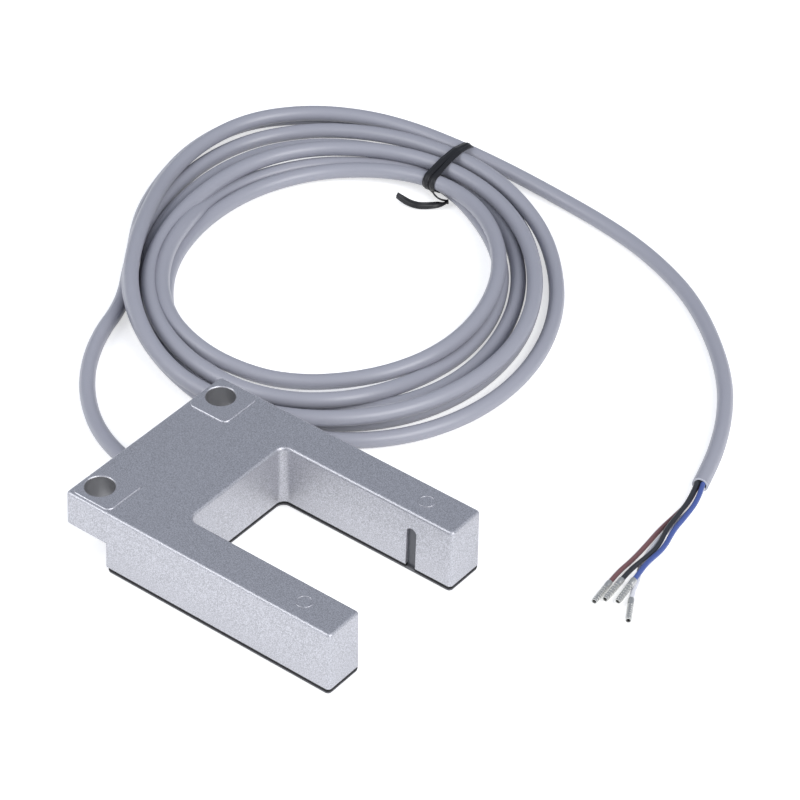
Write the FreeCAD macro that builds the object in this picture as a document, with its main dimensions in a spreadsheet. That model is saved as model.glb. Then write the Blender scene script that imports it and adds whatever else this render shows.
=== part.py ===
import FreeCAD, Part
import math
import os
import Sketcher

# Photoelectric fork sensor with a fixed cable, in millimetres.
# The origin is at the middle of the sensor's underside. +X points along the prongs, +Y to the
# far prong and +Z up. The cable lies on the same surface as the sensor.

SIZES = {
    # fork
    "overall_length": 70,
    "overall_width": 50,
    "overall_height": 15.6,
    "slot_width": 30,
    "flange_length": 11,
    "web_length": 14.4,
    "wall": 1.6,
    "roof": 1.8,
    "draft_angle": 0.6,
    "corner_radius": 0.9,
    "slot_corner_radius": 2,
    "top_edge_radius": 0.7,
    # fixing holes and the raised pads round them
    "bore_diameter": 6.5,
    "bore_from_side": 5.7,
    "bore_from_rear": 4.75,
    "bore_chamfer": 0.2,
    "pad_height": 0.25,
    "pad_margin": 0.05,
    "pad_length": 10.5,
    "pad_width": 11.2,
    "pad_radius": 1.5,
    "pad_chamfer": 0.15,
    # bottom cover and its seal
    "cover_thickness": 0.7,
    "seal_thickness": 0.5,
    "cover_inset": 0.15,
    "rim_height": 1.9,
    "rim_thickness": 1,
    "rim_gap": 0.15,
    # optical path across the slot
    "axis_from_front": 10.5,
    "optical_height": 5.6,
    "window_width": 2.5,
    "window_crown": 11.4,
    "window_recess": 0.7,
    "window_fit": 0.03,
    "window_flange_width": 4.5,
    "window_flange_thickness": 0.6,
    "holder_length": 6,
    "holder_front": 0.8,
    "aperture_width": 1.2,
    "aperture_height": 2.4,
    "diode_width": 4.4,
    "diode_height": 4.4,
    "diode_thickness": 1.5,
    "lens_diameter": 2.6,
    "lens_height": 0.65,
    "diode_lead_width": 0.5,
    "diode_lead_pitch": 2.54,
    "diode_lead_length": 0.45,
    "fit_gap": 0.1,
    "foot_gap": 0.3,
    # circuit board and the posts that clamp it
    "board_thickness": 1,
    "board_gap": 0.2,
    "post_diameter": 3,
    "post_gap": 0.5,
    "pin_diameter": 1.2,
    # electronics under the board
    "amplifier_length": 3,
    "amplifier_width": 3,
    "amplifier_pitch": 0.65,
    "transistor_length": 2.9,
    "transistor_width": 1.6,
    "transistor_pitch": 0.95,
    "package_height": 1,
    "package_standoff": 0.1,
    "pin_width": 0.3,
    "pin_thickness": 0.15,
    "pin_reach": 0.95,
    "capacitor_length": 3.5,
    "capacitor_width": 2.8,
    "capacitor_height": 1.9,
    "chip_length": 1.6,
    "chip_width": 0.8,
    "resistor_height": 0.5,
    "ceramic_height": 0.8,
    # cable outlet
    "cable_diameter": 3.6,
    "gland_wall": 0.8,
    "gland_gap": 0.6,
    "gland_stub": 0.5,
    "collar_step": 0.4,
    "collar_thickness": 0.7,
    "flange_gap": 0.5,
    "cable_trim": 0.6,
    "core_diameter": 1.1,
    "core_offset": 0.65,
    "ferrule_diameter": 1.45,
    "ferrule_length": 7,
    "ferrule_bore": 0.9,
    "ferrule_depth": 3,
    # coil of the cable, an oval ring of loose turns
    "coil_long_radius": 62,
    "coil_short_radius": 50,
    "coil_inner_long_radius": 38.7,
    "coil_inner_short_radius": 35.5,
    "coil_height": 8,
    "coil_edge_radius": 2.4,
    "tie_width": 3,
    "tie_thickness": 0.8,
}

# Where each electronic part sits along the rear strip of the board, from its middle
AMPLIFIER_Y = -5.8
DRIVER_Y = 5.2
REGULATOR_Y = 9.4
TANTALUM_Y = -14.0
RESISTOR_ROWS = [12.6, 14.4, 16.2]
CERAMIC_ROWS = [-9.3, -11.2]
CHIP_COLUMN = 0.8

# The coil's place on the surface: the middles of its outer and inner ovals, and its long axis
COIL_MIDDLE = (-48.9, 84.8)
COIL_INNER_MIDDLE = (-50.2, 83.5)
COIL_ANGLE = -53.0
TIE_MIDDLE = (-53.8, 135.6)
TIE_SPAN = 34.0

# Routes of the cable and its wires where they aren't coiled, chosen by hand from the photograph.
# The lead's first two points come from the outlet in the rear wall.
LEAD_ROUTE = [
    (-46.0, 2.6, 2.9),
    (-58.0, 8.8, 1.8),
    (-68.6, 18.6, 1.8),
    (-76.2, 31.2, 1.8),
    (-82.6, 45.0, 1.8),
    (-86.0, 56.0, 1.8),
]
TAIL_ROUTE = [
    (-57.0, 138.0, 4.4),
    (-43.0, 140.4, 3.0),
    (-28.0, 140.5, 1.8),
    (-15.4, 139.1, 1.8),
    (-4.0, 136.9, 1.8),
    (6.5, 133.4, 1.8),
    (16.6, 128.6, 1.8),
    (26.2, 121.8, 1.8),
    (35.5, 113.4, 1.8),
    (42.6, 105.2, 1.8),
    (48.3, 96.0, 1.8),
    (52.2, 87.6, 1.8),
    (54.5, 81.3, 1.8),
    (56.5, 74.7, 1.8),
]
WIRE_ROUTES = {
    "brown": [
        (55.9, 74.5, 1.15),
        (57.3, 69.8, 0.6),
        (57.4, 64.4, 0.55),
        (57.5, 58.2, 0.55),
        (58.1, 52.9, 0.55),
        (58.6, 46.8, 0.55),
        (58.6, 41.5, 0.73),
        (59.1, 37.9, 0.73),
    ],
    "white": [
        (57.1, 74.9, 1.15),
        (58.9, 69.6, 0.6),
        (59.0, 63.4, 0.55),
        (58.9, 57.4, 0.55),
        (59.6, 52.2, 0.55),
        (60.9, 46.2, 0.55),
        (63.2, 42.2, 0.6),
        (64.35, 38.6, 0.62),
        (65.6, 36.4, 0.74),
    ],
    "blue": [
        (57.1, 74.9, 2.35),
        (59.1, 70.2, 2.05),
        (60.0, 64.2, 1.8),
        (60.5, 59.0, 1.75),
        (62.3, 52.8, 1.75),
        (62.25, 47.0, 1.95),
        (62.9, 43.4, 2.2),
        (63.2, 40.7, 1.85),
    ],
    "black": [
        (55.9, 74.5, 2.35),
        (57.7, 69.4, 2.15),
        (58.6, 63.2, 1.95),
        (59.2, 58.2, 1.8),
        (61.1, 52.5, 1.8),
        (61.0, 47.2, 1.75),
        (60.5, 43.3, 1.4),
        (60.85, 39.7, 1.25),
    ],
}

# Each core's side of the jacket: to the right or left, and above or below its middle
CORE_SIDES = {"brown": (-1, -1), "white": (1, -1), "blue": (1, 1), "black": (-1, 1)}

# Share of the shorter run that an arc may use on each side of its point
CORD_SHARE = 0.45
CORE_SHARE = 0.85

# Levels and places that follow from the sizes
FRONT = "dim.overall_length / 2"
REAR = "(-dim.overall_length / 2)"
REAR_WALL = f"({REAR} + dim.flange_length)"
SIDE = "dim.overall_width / 2"
SLOT_SIDE = "dim.slot_width / 2"
SLOT_END = f"({REAR_WALL} + dim.web_length)"
TOP = "dim.overall_height"
LEAN = "dim.overall_height * tan(dim.draft_angle)"
SEAL_TOP = "(dim.cover_thickness + dim.seal_thickness)"
GLAND = "(dim.cable_diameter + 2 * dim.gland_wall)"
COLLAR = f"({GLAND} + 2 * dim.collar_step)"
CABLE_HEIGHT = f"({SEAL_TOP} + dim.gland_gap + {GLAND} / 2)"
FLANGE_FOOT = f"({CABLE_HEIGHT} + {GLAND} / 2 + dim.flange_gap)"
BORE_Y = f"({SIDE} - dim.bore_from_side)"
ROOF = "(dim.overall_height - dim.roof)"
FOOT = "(dim.cover_thickness + dim.rim_height + dim.foot_gap)"
BOARD = "(dim.optical_height + dim.diode_height / 2 + dim.diode_lead_length)"
BOARD_TOP = f"({BOARD} + dim.board_thickness)"
STRIP_X = f"(({REAR_WALL} + {SLOT_END}) / 2)"
AXIS_X = f"({FRONT} - dim.axis_from_front)"
PRONG_Y = "((dim.overall_width + dim.slot_width) / 4)"
POST_X = f"({AXIS_X} - dim.holder_length / 2 - dim.post_gap - dim.post_diameter / 2)"
WINDOW_BACK = f"({SLOT_SIDE} + dim.wall)"
HOLDER_FACE = f"({WINDOW_BACK} + dim.window_flange_thickness + dim.fit_gap)"
DIODE_FACE = f"({HOLDER_FACE} + dim.holder_front + dim.lens_height + dim.fit_gap)"
DIODE_BACK = f"({DIODE_FACE} + dim.diode_thickness)"
CABLE_END = f"({REAR_WALL} + dim.wall + dim.collar_thickness + dim.cable_trim)"

UP = FreeCAD.Vector(0, 0, 1)

doc = FreeCAD.newDocument("fork_sensor")
dim = doc.addObject("Spreadsheet::Sheet", "dim")
for row, (alias, number) in enumerate(SIZES.items(), start=1):
    dim.set(f"A{row}", alias)
    dim.set(f"B{row}", str(number))
    dim.setAlias(f"B{row}", alias)
doc.recompute()


def value(expression):
    """The number that an expression of the sheet's sizes gives now."""
    return float(dim.evalExpression(expression.replace("dim.", "")))


def bind(item, **expressions):
    """Tie an object's properties to the sheet; a double underscore stands for a dot."""
    for name, expression in expressions.items():
        item.setExpression(name.replace("__", "."), expression)


def new_body(name, x="0", y="0", z="0", turn=0):
    """An empty body whose place is tied to the sheet, turned about +Z by turn degrees."""
    body = doc.addObject("PartDesign::Body", name)
    body.Placement = FreeCAD.Placement(FreeCAD.Vector(), FreeCAD.Rotation(UP, turn))
    bind(body, Placement__Base__x=x, Placement__Base__y=y, Placement__Base__z=z)
    return body


def new_sketch(body, name, plane, level):
    """An empty sketch on one of the body's own planes, moved along its normal."""
    sketch = body.newObject("Sketcher::SketchObject", name)
    support = [item for item in body.Origin.OriginFeatures if item.Role == plane]
    sketch.AttachmentSupport = (support[0], [""])
    sketch.MapMode = "FlatFace"
    bind(sketch, AttachmentOffset__Base__z=level)
    return sketch


def tie_point(sketch, geometry, vertex, x, y):
    """Tie one point of a sketch to its distances from the sketch's origin."""
    for kind, expression in (("DistanceX", x), ("DistanceY", y)):
        rule = Sketcher.Constraint(kind, -1, 1, geometry, vertex, value(expression))
        number = sketch.addConstraint(rule)
        sketch.setExpression(f"Constraints[{number}]", expression)


def draw_outline(sketch, corners):
    """A closed outline of straight edges whose corners are tied to the sheet."""
    spots = [FreeCAD.Vector(value(x), value(y), 0) for x, y in corners]
    first = sketch.GeometryCount
    last = first + len(corners) - 1
    for index, spot in enumerate(spots):
        sketch.addGeometry(Part.LineSegment(spot, spots[(index + 1) % len(spots)]))
    for index, (x, y) in enumerate(corners):
        line = first + index
        follower = first if line == last else line + 1
        sketch.addConstraint(Sketcher.Constraint("Coincident", line, 2, follower, 1))
        tie_point(sketch, line, 1, x, y)


def draw_circle(sketch, x, y, diameter):
    """A circle whose middle and diameter are tied to the sheet."""
    middle = FreeCAD.Vector(value(x), value(y), 0)
    circle = sketch.addGeometry(Part.Circle(middle, UP, value(diameter) / 2))
    tie_point(sketch, circle, 3, x, y)
    number = sketch.addConstraint(Sketcher.Constraint("Diameter", circle, value(diameter)))
    sketch.setExpression(f"Constraints[{number}]", diameter)


def draw_arch(sketch, middle, width, foot, crown):
    """An upright slot about an upright line of the sketch, with a round top and a flat foot."""
    half = value(width) / 2
    centre = value(middle)
    low = value(foot)
    spring = value(crown) - half
    corners = [(-half, spring), (-half, low), (half, low), (half, spring)]
    spots = [FreeCAD.Vector(centre + x, y, 0) for x, y in corners]
    for start, end in zip(spots, spots[1:]):
        sketch.addGeometry(Part.LineSegment(start, end))
    circle = Part.Circle(FreeCAD.Vector(centre, spring, 0), UP, half)
    arc = sketch.addGeometry(Part.ArcOfCircle(circle, 0, math.pi))
    sketch.addConstraint(Sketcher.Constraint("Coincident", 0, 2, 1, 1))
    sketch.addConstraint(Sketcher.Constraint("Coincident", 1, 2, 2, 1))
    sketch.addConstraint(Sketcher.Constraint("Tangent", 2, 2, arc, 1))
    sketch.addConstraint(Sketcher.Constraint("Tangent", arc, 2, 0, 1))
    tie_point(sketch, 1, 1, f"{middle} - ({width}) / 2", foot)
    tie_point(sketch, 1, 2, f"{middle} + ({width}) / 2", foot)
    tie_point(sketch, arc, 3, middle, f"({crown}) - ({width}) / 2")


def draw_rounded(sketch, low_x, high_x, low_y, high_y, radius):
    """A rectangle with round corners: an arc at each corner and straight edges between them."""
    reach = value(radius)
    middles = [
        (f"{high_x} - {radius}", f"{high_y} - {radius}"),
        (f"{low_x} + {radius}", f"{high_y} - {radius}"),
        (f"{low_x} + {radius}", f"{low_y} + {radius}"),
        (f"{high_x} - {radius}", f"{low_y} + {radius}"),
    ]
    arcs = []
    for quarter, (x, y) in enumerate(middles):
        circle = Part.Circle(FreeCAD.Vector(value(x), value(y), 0), UP, reach)
        start = quarter * math.pi / 2
        arcs.append(Part.ArcOfCircle(circle, start, start + math.pi / 2))
    for index, arc in enumerate(arcs):
        follower = arcs[(index + 1) % len(arcs)]
        sketch.addGeometry(arc)
        sketch.addGeometry(Part.LineSegment(arc.EndPoint, follower.StartPoint))
    for index, (x, y) in enumerate(middles):
        arc = 2 * index
        line = arc + 1
        sketch.addConstraint(Sketcher.Constraint("Tangent", arc, 2, line, 1))
        sketch.addConstraint(Sketcher.Constraint("Tangent", line, 2, (arc + 2) % 8, 1))
        tie_point(sketch, arc, 3, x, y)
        number = sketch.addConstraint(Sketcher.Constraint("Radius", arc, reach))
        sketch.setExpression(f"Constraints[{number}]", radius)


def rectangle(low_x, high_x, low_y, high_y):
    """Corners of a rectangle in a sketch."""
    return [(low_x, low_y), (high_x, low_y), (high_x, high_y), (low_x, high_y)]


def fork_outline(inset):
    """Corners of the fork's plan below the flange, moved into the material by inset."""
    rear = f"{REAR_WALL} + {inset}"
    front = f"{FRONT} - ({inset})"
    side = f"({SIDE} - ({inset}))"
    slot = f"({SLOT_SIDE} + {inset})"
    end = f"{SLOT_END} - ({inset})"
    near = [(rear, f"-{side}"), (front, f"-{side}"), (front, f"-{slot}"), (end, f"-{slot}")]
    far = [(end, slot), (front, slot), (front, side), (rear, side)]
    return near + far


def extrude(body, kind, sketch, length, back=False, both=False):
    """A pad or pocket of a sketch: along its own direction, back from it, or to both sides."""
    feature = body.newObject(f"PartDesign::{kind}", f"{sketch.Name}_{kind.lower()}")
    feature.Profile = sketch
    feature.Reversed = back
    if both:
        feature.SideType = "Symmetric"
    bind(feature, Length=length)
    doc.recompute()
    return feature


def pad_outlines(body, name, level, length, *outlines):
    """A pad upwards from a level, of one or more outlines in plan."""
    sketch = new_sketch(body, name, "XY_Plane", level)
    for corners in outlines:
        draw_outline(sketch, corners)
    return extrude(body, "Pad", sketch, length)


def pad_circles(body, name, level, length, middles, diameter):
    """Round bosses upwards from a level."""
    sketch = new_sketch(body, name, "XY_Plane", level)
    for x, y in middles:
        draw_circle(sketch, x, y, diameter)
    return extrude(body, "Pad", sketch, length)


def post_middles():
    """Middles of the posts that clamp the board: one pair behind, one pair in the prongs."""
    return [(x, f"{side}{PRONG_Y}") for x in (STRIP_X, POST_X) for side in ("-", "")]


def upright_edges(feature, corners):
    """Names of a feature's nearly vertical edges that stand at some corners of the plan."""
    reach = value("dim.overall_height")
    lean = math.tan(math.radians(value("dim.draft_angle"))) * reach + 0.1
    spots = [(value(x), value(y)) for x, y in corners]
    found = []
    for number, edge in enumerate(feature.Shape.Edges, start=1):
        box = edge.BoundBox
        if box.ZLength < 0.1 or max(box.XLength, box.YLength) > lean:
            continue
        middle = edge.CenterOfMass
        if any(abs(middle.x - x) < lean and abs(middle.y - y) < lean for x, y in spots):
            found.append(f"Edge{number}")
    return found


def level_edges(feature, height, low, high):
    """Names of a feature's edges that lie at a height, between two places along Y."""
    level = value(height)
    found = []
    for number, edge in enumerate(feature.Shape.Edges, start=1):
        box = edge.BoundBox
        if max(abs(box.ZMin - level), abs(box.ZMax - level)) < 0.001:
            if box.YMin > low - 0.001 and box.YMax < high + 0.001:
                found.append(f"Edge{number}")
    return found


def dress(body, kind, feature, edges, name, **sizes):
    """A fillet or chamfer of named edges."""
    step = body.newObject(f"PartDesign::{kind}", name)
    step.Base = (feature, edges)
    bind(step, **sizes)
    doc.recompute()
    return step


def round_plan(body, feature, inset):
    """Round the upright corners of a fork-shaped plate as the casting's are."""
    corners = fork_outline(inset)
    outer = upright_edges(feature, corners[:3] + corners[5:])
    feature = dress(body, "Fillet", feature, outer, f"{body.Name}_corners",
                    Radius="dim.corner_radius")
    inner = upright_edges(feature, corners[3:5])
    return dress(body, "Fillet", feature, inner, f"{body.Name}_slot_corners",
                 Radius="dim.slot_corner_radius")


def draft_sides(body, feature):
    """Lean the upright faces of the casting, narrower towards the top."""
    upright = []
    for number, face in enumerate(feature.Shape.Faces, start=1):
        if abs(face.normalAt(0, 0).z) < 0.001:
            upright.append(f"Face{number}")
    draft = body.newObject("PartDesign::Draft", "side_draft")
    draft.Base = (feature, upright)
    plane = [item for item in body.Origin.OriginFeatures if item.Role == "XY_Plane"]
    draft.NeutralPlane = (plane[0], [""])
    bind(draft, Angle="dim.draft_angle")
    doc.recompute()
    return draft


def make_housing():
    """The die-cast fork: flange, prongs, cavity, posts, optical slots and fixing holes."""
    body = new_body("housing")
    pad_outlines(body, "fork", SEAL_TOP, f"{TOP} - {SEAL_TOP}", fork_outline("0"))
    flange = rectangle(REAR, f"{REAR_WALL} + dim.wall", f"-{SIDE}", SIDE)
    feature = pad_outlines(body, "flange", FLANGE_FOOT, f"{TOP} - {FLANGE_FOOT}", flange)
    feature = draft_sides(body, feature)

    outer = flange[:1] + flange[3:] + fork_outline("0")[1:3] + fork_outline("0")[5:7]
    feature = dress(body, "Fillet", feature, upright_edges(feature, outer),
                    "outer_corners", Radius="dim.corner_radius")
    feature = dress(body, "Fillet", feature, upright_edges(feature, fork_outline("0")[3:5]),
                    "slot_corners", Radius="dim.slot_corner_radius")
    rim = level_edges(feature, TOP, -value(SIDE), value(SIDE))
    dress(body, "Fillet", feature, rim, "top_edges", Radius="dim.top_edge_radius")

    cavity = new_sketch(body, "cavity", "XY_Plane", SEAL_TOP)
    draw_outline(cavity, fork_outline("dim.wall"))
    extrude(body, "Pocket", cavity, f"{ROOF} - {SEAL_TOP}", back=True)
    pad_circles(body, "board_posts", BOARD_TOP, f"{ROOF} - {BOARD_TOP} + dim.roof / 2",
                post_middles(), "dim.post_diameter")

    edge = f"({SIDE} - {LEAN} - dim.top_edge_radius - dim.pad_margin)"
    inner = f"({edge} - dim.pad_width)"
    start = f"({REAR} + {LEAN} + dim.top_edge_radius + dim.pad_margin)"
    end = f"({start} + dim.pad_length)"
    for place, low, high in (("near", f"-{edge}", f"-{inner}"), ("far", inner, edge)):
        raised = new_sketch(body, f"{place}_pad", "XY_Plane", TOP)
        draw_rounded(raised, start, end, low, high, "dim.pad_radius")
        feature = extrude(body, "Pad", raised, "dim.pad_height")
        rim = level_edges(feature, f"{TOP} + dim.pad_height", value(low), value(high))
        dress(body, "Chamfer", feature, rim, f"{place}_pad_rim", Size="dim.pad_chamfer")

    bores = new_sketch(body, "bores", "XY_Plane", f"{TOP} + dim.pad_height")
    for sign in ("-", ""):
        draw_circle(bores, f"{REAR} + dim.bore_from_rear", f"{sign}{BORE_Y}",
                    "dim.bore_diameter")
    drilled = extrude(body, "Pocket", bores,
                      f"{TOP} + dim.pad_height - {FLANGE_FOOT} + dim.fit_gap")
    mouth = value(f"{TOP} + dim.pad_height")
    rims = []
    for number, edge in enumerate(drilled.Shape.Edges, start=1):
        if edge.Closed and abs(edge.CenterOfMass.z - mouth) < 0.001:
            rims.append(f"Edge{number}")
    dress(body, "Chamfer", drilled, rims, "bore_rims", Size="dim.bore_chamfer")

    slots = new_sketch(body, "optical_slots", "XZ_Plane", "0")
    draw_arch(slots, AXIS_X, "dim.window_width", f"{SEAL_TOP} - dim.wall", "dim.window_crown")
    extrude(body, "Pocket", slots, f"2 * {WINDOW_BACK} + dim.fit_gap", both=True)

    outlet = new_sketch(body, "outlet", "YZ_Plane", REAR_WALL)
    draw_circle(outlet, "0", CABLE_HEIGHT, GLAND)
    extrude(body, "Pocket", outlet, "dim.wall + dim.fit_gap", back=True)
    return body


def make_cover_seal():
    """The flat seal between the casting and the cover, open where the windows pass it."""
    body = new_body("cover_seal")
    frame = pad_outlines(body, "seal_frame", "dim.cover_thickness", "dim.seal_thickness",
                         fork_outline("dim.cover_inset"), fork_outline("dim.wall"))
    round_plan(body, frame, "dim.cover_inset")
    gaps = new_sketch(body, "window_gaps", "XY_Plane", SEAL_TOP)
    half = "dim.window_width / 2"
    for side in ("-", ""):
        inner = f"{side}({SLOT_SIDE} - dim.fit_gap)"
        outer = f"{side}({WINDOW_BACK} + dim.fit_gap)"
        draw_outline(gaps, rectangle(f"{AXIS_X} - {half}", f"{AXIS_X} + {half}", inner, outer))
    extrude(body, "Pocket", gaps, "dim.seal_thickness")
    return body


def make_bottom_cover():
    """The cover plate with its locating rim and the posts and pins under the board."""
    body = new_body("bottom_cover")
    plate = pad_outlines(body, "plate", "0", "dim.cover_thickness", fork_outline("dim.cover_inset"))
    round_plan(body, plate, "dim.cover_inset")
    outer = "dim.wall + dim.rim_gap"
    inner = f"{outer} + dim.rim_thickness"
    pad_outlines(body, "rim", "dim.cover_thickness", "dim.rim_height",
                 fork_outline(outer), fork_outline(inner))

    notch = new_sketch(body, "cable_notch", "XY_Plane", "dim.cover_thickness + dim.rim_height")
    half = f"({COLLAR} / 2 + dim.foot_gap)"
    draw_outline(notch, rectangle(REAR_WALL, f"{REAR_WALL} + {inner} + dim.fit_gap",
                                  f"-{half}", half))
    extrude(body, "Pocket", notch, "dim.rim_height")

    pad_circles(body, "posts", "dim.cover_thickness", f"{BOARD} - dim.cover_thickness",
                post_middles(), "dim.post_diameter")
    pad_circles(body, "pins", BOARD, "dim.board_thickness - dim.fit_gap",
                post_middles(), "dim.pin_diameter")
    return body


def make_circuit_board():
    """The fork-shaped board, with a hole for each pin of the cover's posts."""
    body = new_body("circuit_board")
    inset = "dim.wall + dim.window_flange_thickness + dim.board_gap"
    pad_outlines(body, "board", BOARD, "dim.board_thickness", fork_outline(inset))
    holes = new_sketch(body, "pin_holes", "XY_Plane", BOARD_TOP)
    for x, y in post_middles():
        draw_circle(holes, x, y, "dim.pin_diameter + 2 * dim.fit_gap")
    extrude(body, "Pocket", holes, "dim.board_thickness")
    return body


def optical_body(name, near):
    """A body on the optical axis, drawn for the far prong and turned round for the near one."""
    return new_body(name, x=AXIS_X, turn=180 if near else 0)


def pad_outwards(body, sketch, length):
    """A pad of a sketch that stands along the slot, away from the slot's middle."""
    return extrude(body, "Pad", sketch, length, back=True)


def make_window(name, near):
    """A dark window: an arched pane in the wall's slot and a flange behind the wall."""
    body = optical_body(name, near)
    pane = new_sketch(body, f"{name}_pane", "XZ_Plane", f"-({SLOT_SIDE} + dim.window_recess)")
    draw_arch(pane, "0", "dim.window_width - 2 * dim.window_fit", "dim.cover_thickness",
              "dim.window_crown - dim.window_fit")
    pad_outwards(body, pane, "dim.wall - dim.window_recess")
    flange = new_sketch(body, f"{name}_flange", "XZ_Plane", f"-{WINDOW_BACK}")
    half = "dim.window_flange_width / 2"
    draw_outline(flange, rectangle(f"-{half}", half, FOOT, f"{ROOF} - dim.foot_gap"))
    pad_outwards(body, flange, "dim.window_flange_thickness")
    return body


def make_holder(name, near):
    """A carrier that hangs from the board: a seat for the diode behind an aperture slit."""
    body = optical_body(name, near)
    half = "dim.holder_length / 2"
    block = rectangle(f"-{half}", half, HOLDER_FACE, DIODE_BACK)
    pad_outlines(body, f"{name}_block", FOOT, f"{BOARD} - {FOOT}", block)
    seat = new_sketch(body, f"{name}_seat", "XY_Plane", BOARD)
    half = "(dim.diode_width / 2 + dim.fit_gap)"
    draw_outline(seat, rectangle(f"-{half}", half, f"{HOLDER_FACE} + dim.holder_front",
                                 f"{DIODE_BACK} + dim.fit_gap"))
    extrude(body, "Pocket", seat,
            f"{BOARD} - dim.optical_height + dim.diode_height / 2 + dim.fit_gap")
    slit = new_sketch(body, f"{name}_slit", "XZ_Plane", f"-({HOLDER_FACE})")
    half = "dim.aperture_width / 2"
    rise = "dim.aperture_height / 2"
    draw_outline(slit, rectangle(f"-{half}", half, f"dim.optical_height - {rise}",
                                 f"dim.optical_height + {rise}"))
    extrude(body, "Pocket", slit, "dim.holder_front + dim.fit_gap")
    return body


def make_diode(name, near):
    """A side-looking diode: package, lens towards the slot and two leads up to the board."""
    body = optical_body(name, near)
    package = new_sketch(body, f"{name}_package", "XZ_Plane", f"-{DIODE_FACE}")
    half = "dim.diode_width / 2"
    rise = "dim.diode_height / 2"
    draw_outline(package, rectangle(f"-{half}", half, f"dim.optical_height - {rise}",
                                    f"dim.optical_height + {rise}"))
    pad_outwards(body, package, "dim.diode_thickness")
    cap = new_sketch(body, f"{name}_lens", "XZ_Plane", f"-{DIODE_FACE}")
    draw_circle(cap, "0", "dim.optical_height", "dim.lens_diameter")
    lens = extrude(body, "Pad", cap, "dim.lens_height")
    tip = -value(DIODE_FACE) + value("dim.lens_height")
    rims = []
    for number, edge in enumerate(lens.Shape.Edges, start=1):
        if edge.Closed and abs(abs(edge.CenterOfMass.y) - abs(tip)) < 0.001:
            rims.append(f"Edge{number}")
    dress(body, "Fillet", lens, rims, f"{name}_lens_rim", Radius="dim.lens_height * 0.9")
    side = "dim.diode_lead_width / 2"
    middle = f"({DIODE_BACK} - dim.diode_thickness / 2)"
    leads = []
    for sign in ("-", ""):
        lead = f"{sign}dim.diode_lead_pitch / 2"
        leads.append(rectangle(f"{lead} - {side}", f"{lead} + {side}",
                               f"{middle} - {side}", f"{middle} + {side}"))
    pad_outlines(body, f"{name}_leads", f"dim.optical_height + {rise}",
                 "dim.diode_lead_length", *leads)
    return body


def make_package(name, kind, pins, y):
    """A chip under the board: a moulded block and two rows of gull-wing pins."""
    body = new_body(name, x=STRIP_X, y=str(y), z=BOARD)
    length = f"dim.{kind}_length"
    side = f"dim.{kind}_width / 2"
    pitch = f"dim.{kind}_pitch"
    block = rectangle(f"-{length} / 2", f"{length} / 2", f"-{side}", side)
    low = "(dim.package_standoff + dim.package_height)"
    pad_outlines(body, f"{name}_block", f"-{low}", "dim.package_height", block)

    wings = new_sketch(body, f"{name}_pins", "YZ_Plane", f"{pitch} * {(1 - pins) / 2}")
    knee = f"({side} + dim.pin_reach / 2)"
    shoulder = f"-{low} / 2"
    profile = [
        (f"({side} - dim.pin_thickness)", shoulder),
        (f"({knee} + dim.pin_thickness)", shoulder),
        (f"({knee} + dim.pin_thickness)", "-dim.pin_thickness"),
        (f"({side} + dim.pin_reach)", "-dim.pin_thickness"),
        (f"({side} + dim.pin_reach)", "0"),
        (knee, "0"),
        (knee, f"{shoulder} + dim.pin_thickness"),
        (f"({side} - dim.pin_thickness)", f"{shoulder} + dim.pin_thickness"),
    ]
    for sign in ("", "-"):
        draw_outline(wings, [(f"{sign}{across}", height) for across, height in profile])
    pair = extrude(body, "Pad", wings, "dim.pin_width", both=True)
    row = body.newObject("PartDesign::LinearPattern", f"{name}_row")
    row.Originals = [pair]
    row.Direction = ([item for item in body.Origin.OriginFeatures if item.Role == "X_Axis"][0],
                     [""])
    row.Occurrences = pins
    bind(row, Length=f"{pitch} * {pins - 1}")
    body.Tip = row
    doc.recompute()
    return body


def make_tantalum_capacitor():
    """The moulded capacitor under the board, with its two end tabs."""
    body = new_body("tantalum_capacitor", x=STRIP_X, y=str(TANTALUM_Y), z=BOARD)
    half = "dim.capacitor_width / 2"
    end = "(dim.capacitor_length / 2 - dim.pin_thickness)"
    block = rectangle(f"-{half}", half, f"-{end}", end)
    pad_outlines(body, "tantalum_block", "-dim.capacitor_height",
                 "dim.capacitor_height - dim.package_standoff", block)
    tab = f"({end} + dim.pin_thickness)"
    tabs = [
        rectangle(f"-{half} / 2", f"{half} / 2", f"-{tab}", f"-{end} / 2"),
        rectangle(f"-{half} / 2", f"{half} / 2", f"{end} / 2", tab),
    ]
    pad_outlines(body, "tantalum_tabs", "-dim.capacitor_height / 2",
                 "dim.capacitor_height / 2", *tabs)
    return body


def make_chips(name, rows, height):
    """Small two-ended chips under the board, as one group of separate solids."""
    chips = []
    for row in rows:
        for column in (-CHIP_COLUMN, CHIP_COLUMN):
            chip = doc.addObject("Part::Box", f"{name}_{len(chips) + 1}")
            bind(chip, Length="dim.chip_width", Width="dim.chip_length", Height=height,
                 Placement__Base__x=f"{STRIP_X} + {column} - dim.chip_width / 2",
                 Placement__Base__y=f"{row} - dim.chip_length / 2",
                 Placement__Base__z=f"{BOARD} - {height}")
            chips.append(chip)
    group = doc.addObject("Part::Compound", name)
    group.Links = chips
    return group


def make_gland():
    """The rubber bush in the rear wall: a barrel, and a collar inside the wall."""
    body = new_body("cable_gland", x=REAR_WALL, z=CABLE_HEIGHT)
    sketch = new_sketch(body, "gland_section", "XZ_Plane", "0")
    bore = "dim.cable_diameter / 2"
    barrel = f"{GLAND} / 2"
    collar = f"{COLLAR} / 2"
    inner = "dim.wall + dim.collar_thickness"
    draw_outline(sketch, [
        ("-dim.gland_stub", bore),
        (inner, bore),
        (inner, collar),
        ("dim.wall", collar),
        ("dim.wall", barrel),
        ("-dim.gland_stub", barrel),
    ])
    turn_profile(body, sketch)
    return body


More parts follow.
